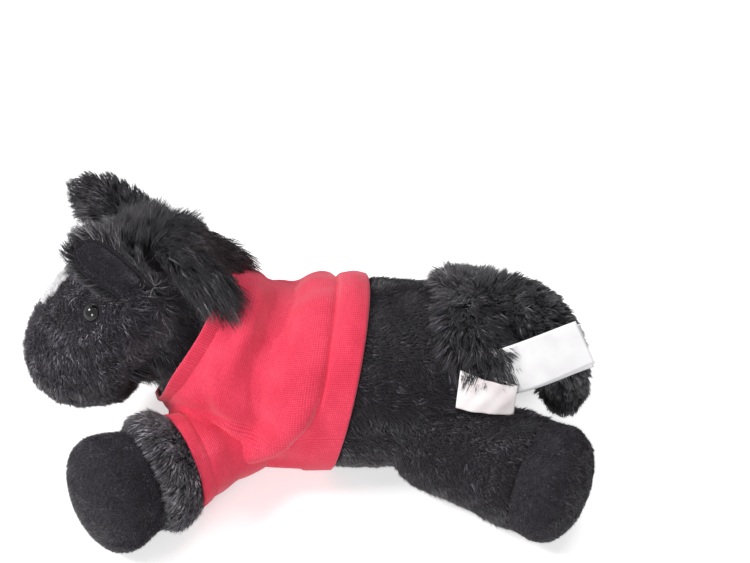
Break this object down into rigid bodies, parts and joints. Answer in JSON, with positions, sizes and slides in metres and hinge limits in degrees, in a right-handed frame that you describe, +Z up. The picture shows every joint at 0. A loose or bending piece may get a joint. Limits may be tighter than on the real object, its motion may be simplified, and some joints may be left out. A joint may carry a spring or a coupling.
{
  "type": "plush horse",
  "caption": "Soft floppy horse lying on its belly, stuffed and pellet weighted, with flopping legs, turning neck, nodding head, folding ears and a knitted shirt.",
  "frame": {"origin": "middle of the outline seen from above, on the surface that the belly and the legs rest on", "axes": "+Z up, -Y towards the nose, so the tail is towards +Y, and +X towards the horse's left side"},
  "size_m": [0.199, 0.2892, 0.1442],
  "materials": {
    "blaze": "white short plush",
    "care_label": "blank white satin ribbon",
    "ear_left": "black short-pile plush",
    "ear_lining_left": "charcoal short-nap plush",
    "ear_lining_right": "charcoal short-nap plush",
    "ear_right": "black short-pile plush",
    "eye_left": "glossy black safety eye",
    "eye_right": "glossy black safety eye",
    "eye_washer_left": "white moulded polyethylene washer",
    "eye_washer_right": "white moulded polyethylene washer",
    "forelock": "black long-pile plush with paler tips",
    "front_hoof_left": "charcoal short-nap plush",
    "front_hoof_right": "charcoal short-nap plush",
    "front_leg_left": "black short-pile plush",
    "front_leg_right": "black short-pile plush",
    "front_leg_stuffing_left": "white polyester fibrefill",
    "front_leg_stuffing_right": "white polyester fibrefill",
    "head_cover": "black short-pile plush",
    "head_stuffing": "white polyester fibrefill",
    "hind_hoof_left": "charcoal short-nap plush",
    "hind_hoof_right": "charcoal short-nap plush",
    "hind_leg_left": "black short-pile plush",
    "hind_leg_right": "black short-pile plush",
    "hind_leg_stuffing_left": "white polyester fibrefill",
    "hind_leg_stuffing_right": "white polyester fibrefill",
    "mane": "black long-pile plush with paler tips",
    "neck_cover": "black short-pile plush",
    "neck_stuffing": "white polyester fibrefill",
    "pellet_bag": "plain grey woven bag filled with pellets",
    "shirt_body": "red cotton jersey knit",
    "shirt_collar": "red cotton jersey knit",
    "side_label": "blank white satin ribbon",
    "sleeve_left": "red cotton jersey knit",
    "sleeve_right": "red cotton jersey knit",
    "tail": "black long-pile plush with paler tips",
    "torso_cover": "black short-pile plush",
    "torso_stuffing": "white polyester fibrefill"
  },
  "bodies": {
    "torso": {"torso_cover": "torso_cover", "torso_stuffing": "torso_stuffing", "pellet_bag": "pellet_bag", "shirt_body": "shirt_body", "shirt_collar": "shirt_collar", "care_label": "care_label", "side_label": "side_label"},
    "neck": {"neck_cover": "neck_cover", "neck_stuffing": "neck_stuffing", "mane": "mane"},
    "head": {"head_cover": "head_cover", "head_stuffing": "head_stuffing", "blaze": "blaze", "forelock": "forelock", "eye_left": "eye_left", "eye_right": "eye_right", "eye_washer_left": "eye_washer_left", "eye_washer_right": "eye_washer_right"},
    "ear_l": {"ear_left": "ear_left", "ear_lining_left": "ear_lining_left"},
    "ear_r": {"ear_right": "ear_right", "ear_lining_right": "ear_lining_right"},
    "front_l": {"front_leg_left": "front_leg_left", "front_leg_stuffing_left": "front_leg_stuffing_left", "front_hoof_left": "front_hoof_left", "sleeve_left": "sleeve_left"},
    "front_r": {"front_leg_right": "front_leg_right", "front_leg_stuffing_right": "front_leg_stuffing_right", "front_hoof_right": "front_hoof_right", "sleeve_right": "sleeve_right"},
    "hind_l": {"hind_leg_left": "hind_leg_left", "hind_leg_stuffing_left": "hind_leg_stuffing_left", "hind_hoof_left": "hind_hoof_left"},
    "hind_r": {"hind_leg_right": "hind_leg_right", "hind_leg_stuffing_right": "hind_leg_stuffing_right", "hind_hoof_right": "hind_hoof_right"},
    "tail_body": {"tail": "tail"}
  },
  "joints": [
    {"name": "neck_turn", "type": "hinge", "parent": "torso", "child": "neck", "pos_m": [0, -0.04848, 0.072], "axis": [0, 0, 1], "range_deg": [-15, 15], "stiffness_Nm_per_rad": 0.25},
    {"name": "head_nod", "type": "hinge", "parent": "neck", "child": "head", "pos_m": [0, -0.07633, 0.0915], "axis": [1, 0, 0], "range_deg": [-12, 5], "stiffness_Nm_per_rad": 0.2},
    {"name": "ear_left_fold", "type": "hinge", "parent": "head", "child": "ear_l", "pos_m": [0.02263, -0.07799, 0.11313], "axis": [0.6369, -0.6452, -0.4221], "range_deg": [-30, 3], "stiffness_Nm_per_rad": 0.004},
    {"name": "ear_right_fold", "type": "hinge", "parent": "head", "child": "ear_r", "pos_m": [-0.02263, -0.07799, 0.11313], "axis": [0.6373, 0.6449, 0.4218], "range_deg": [-30, 3], "stiffness_Nm_per_rad": 0.004},
    {"name": "front_left_flop", "type": "hinge", "parent": "torso", "child": "front_l", "pos_m": [0.02989, -0.03454, 0.027], "axis": [0, 0, 1], "range_deg": [-2, 20], "stiffness_Nm_per_rad": 0.02},
    {"name": "front_right_flop", "type": "hinge", "parent": "torso", "child": "front_r", "pos_m": [-0.02989, -0.03454, 0.027], "axis": [0, 0, 1], "range_deg": [-20, 2], "stiffness_Nm_per_rad": 0.02},
    {"name": "hind_left_flop", "type": "hinge", "parent": "torso", "child": "hind_l", "pos_m": [0.03381, 0.06746, 0.027], "axis": [0, 0, 1], "range_deg": [-20, 2], "stiffness_Nm_per_rad": 0.02},
    {"name": "hind_right_flop", "type": "hinge", "parent": "torso", "child": "hind_r", "pos_m": [-0.03381, 0.06746, 0.027], "axis": [0, 0, 1], "range_deg": [-2, 20], "stiffness_Nm_per_rad": 0.02},
    {"name": "tail_wag", "type": "hinge", "parent": "torso", "child": "tail_body", "pos_m": [0, 0.0814, 0.0775], "axis": [0, 0, 1], "range_deg": [-12, 12], "stiffness_Nm_per_rad": 0.01}
  ]
}
